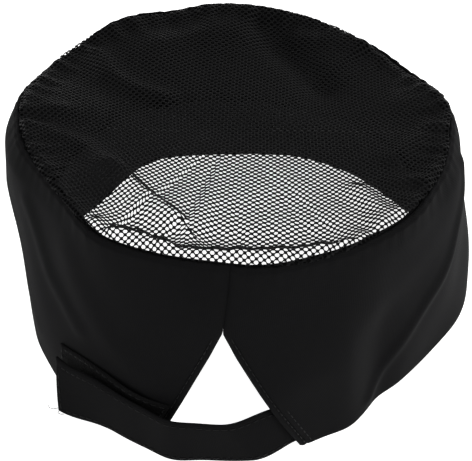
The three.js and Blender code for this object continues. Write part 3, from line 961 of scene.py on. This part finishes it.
def thread_tube(points, faces, path, outward, size):
    """Adds one length of thread, six-sided, to the lists of points and faces."""
    ahead = np.gradient(path, axis=0)
    side = np.cross(ahead, outward)
    side /= np.linalg.norm(side, axis=-1, keepdims=True)
    rise = np.cross(side, ahead)
    rise /= np.linalg.norm(rise, axis=-1, keepdims=True)
    first = len(points)
    for spot, wide in enumerate(size):
        for turn in np.radians(np.arange(0, 360, 60)):
            points.append(path[spot] + wide * (math.cos(turn) * side[spot] + math.sin(turn) * rise[spot]))
    for spot in range(len(path) - 1):
        for t in range(6):
            a, b = first + spot * 6 + t, first + spot * 6 + (t + 1) % 6
            faces.append((a, a + 6, b + 6, b))
    last = first + (len(path) - 1) * 6
    faces.append(tuple(range(first, first + 6)))
    faces.append(tuple(range(last + 5, last - 1, -1)))


def thread_piece(name, points, faces):
    """One piece from the lists of points and faces, in black thread."""
    mesh = bpy.data.meshes.new(name)
    mesh.from_pydata([tuple(point) for point in points], [], faces)
    mesh.polygons.foreach_set("use_smooth", np.ones(len(faces), dtype=bool))
    piece = link(bpy.data.objects.new(name, mesh))
    mesh.materials.append(thread_look)
    return piece


def sewn(name, lines):
    """Rows of stitches. Each line is its places on the cloth and the way the cloth faces at each."""
    points, faces = [], []
    for places, outward in lines:
        gone = np.concatenate([[0.0], np.cumsum(np.linalg.norm(np.diff(places, axis=0), axis=1))])
        for k in range(int((gone[-1] + STITCH_GAP) / (STITCH + STITCH_GAP))):
            stops = k * (STITCH + STITCH_GAP) + STITCH * np.array([0.0, 0.15, 0.5, 0.85, 1.0])
            path = np.stack([np.interp(stops, gone, places[:, axis]) for axis in range(3)], axis=-1)
            facing = np.stack([np.interp(stops, gone, outward[:, axis]) for axis in range(3)], axis=-1)
            path = path + facing * THREAD * np.array([-1.0, 0.1, 0.4, 0.1, -1.0])[:, None]
            thread_tube(points, faces, path, facing, THREAD * np.array([0.5, 0.9, 1.0, 0.9, 0.5]))
    return thread_piece(name, points, faces)


thread_look = yarn_material(
    "black_thread", (0.002, 0.002, 0.002), (0.008, 0.008, 0.0085),
    scale=3000, detail=2, roughness=0.5, specular=0.12,
)[0]

# Rows beside the vent: which edge, how far from it, and how high the row goes
VENT_ROWS = [(1, STITCH_INSET, 0.0715), (1, 0.0056, 0.0260), (-1, STITCH_INSET, 0.0680)]
vent_lines = []
for side, inset, top in VENT_ROWS:
    up = np.linspace(0.0025, top, 160) / BACK_HEIGHT
    bearing = vent_edge(up, side) + side * inset / AROUND
    face = swell(bearing, up) + seam_pucker(bearing, up)
    vent_lines.append((wall(bearing, up, face), wall_normal(bearing, up)))
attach(sewn("vent_stitches", vent_lines), "cap")

inset_up = STRAP_STITCH / STRAP_WIDTH
end_bearing = STRAP_END + STRAP_STITCH / AROUND
strap_lines = []
for share in (inset_up, 1 - inset_up):
    bearing = np.linspace(-76.0 - 4.0 * share, end_bearing + 3.0 - 4.0 * share, 300)
    strap_lines.append((strap_face(bearing, share, STRAP / 2), wall_normal(bearing, 0.12)))
share = np.linspace(inset_up, 1 - inset_up, 60)
bearing = end_bearing + 3.0 - 4.0 * share
strap_lines.append((strap_face(bearing, share, STRAP / 2), wall_normal(bearing, 0.12)))
strap_stitches = sewn("strap_stitches", strap_lines)
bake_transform(strap_stitches)

# Once round the loop tape, from corner to corner, as shares along it and up it
TAPE_CORNERS = [(0.03, 0.94), (0.97, 0.94), (0.97, 0.06), (0.03, 0.06), (0.03, 0.94)]
loop_lines = []
for (s_from, v_from), (s_to, v_to) in zip(TAPE_CORNERS, TAPE_CORNERS[1:]):
    s, v = np.linspace(s_from, s_to, 200), np.linspace(v_from, v_to, 200)
    loop_lines.append((loop_face(s, v, TAPE), wall_normal(-102 - 34 * s, 0.15)))
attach(sewn("loop_tape_stitches", loop_lines), "cap")

inside_lines = []
bearing = np.linspace(SWEATBAND_START + 1, SWEATBAND_END - 1, 900)
up = (SWEATBAND_BOTTOM + 0.003) / seam_height(bearing)
face = swell(bearing, up) + hem_inside - SWEATBAND
inside_lines.append((wall(bearing, up, face), -wall_normal(bearing, up)))
for s_end in (0.06, 0.94):
    bearing = np.full(60, label_start + (label_end - label_start) * s_end)
    up = np.linspace(low[2] + 0.001, high[2] - 0.001, 60) / seam_height(bearing)
    face = swell(bearing, up) + hem_inside - 0.0001 - LABEL * 1.9
    inside_lines.append((wall(bearing, up, face), -wall_normal(bearing, up)))
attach(sewn("inside_stitches", inside_lines), "cap")

# Cut ends of thread: where each starts on the strap, and how it curls from there, in metres
LOOSE_ENDS = [
    (STRAP_END + 2.5, 0.02,
     [(0, 0, 0), (-0.0016, -0.0010, 0.0004), (-0.0032, -0.0010, 0.0010), (-0.0040, 0.0002, 0.0018)]),
    (STRAP_END + 3.2, 0.01,
     [(0, 0, 0), (-0.0008, -0.0016, 0.0000), (0.0006, -0.0026, 0.0002), (0.0018, -0.0024, 0.0002)]),
]
points, faces = [], []
for bearing, share, curl in LOOSE_ENDS:
    start = strap_face(np.array([bearing]), np.array([share]), 0.0)[0]
    knots_at = np.array([start + np.array(step) for step in curl])
    spots = np.linspace(0, len(curl) - 1, 12)
    marks = np.arange(len(curl))
    path = np.stack([np.interp(spots, marks, knots_at[:, axis]) for axis in range(3)], axis=-1)
    thread_tube(points, faces, path, np.tile([0.1, 0.2, 1.0], (12, 1)), np.full(12, THREAD * 0.7))
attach(thread_piece("loose_threads", points, faces), "strap")

# --- The camera ----------------------------------------------------------------------------
# Behind the cap and above it, a little to the right of the vent.

VIEW_TURN = math.radians(2.5)
VIEW_UP = math.radians(42.0)
VIEW_DISTANCE = 0.880
VIEW_ROLL = math.radians(0.7)
LENS = 162.8
aim = Vector((middle[0] - 0.0031, middle[1] - 0.0137, 0.0453))
back = Vector((
    math.sin(VIEW_TURN) * math.cos(VIEW_UP),
    -math.cos(VIEW_TURN) * math.cos(VIEW_UP),
    math.sin(VIEW_UP),
))
camera_data = bpy.data.cameras.new("camera")
camera_data.lens = LENS
camera_data.sensor_width = 36
camera = link(bpy.data.objects.new("camera", camera_data))
camera.location = aim + back * VIEW_DISTANCE
camera.rotation_mode = "QUATERNION"
facing = (-back).to_track_quat("-Z", "Y")
camera.rotation_quaternion = facing @ Quaternion((0, 0, 1), VIEW_ROLL)
bpy.context.scene.camera = camera
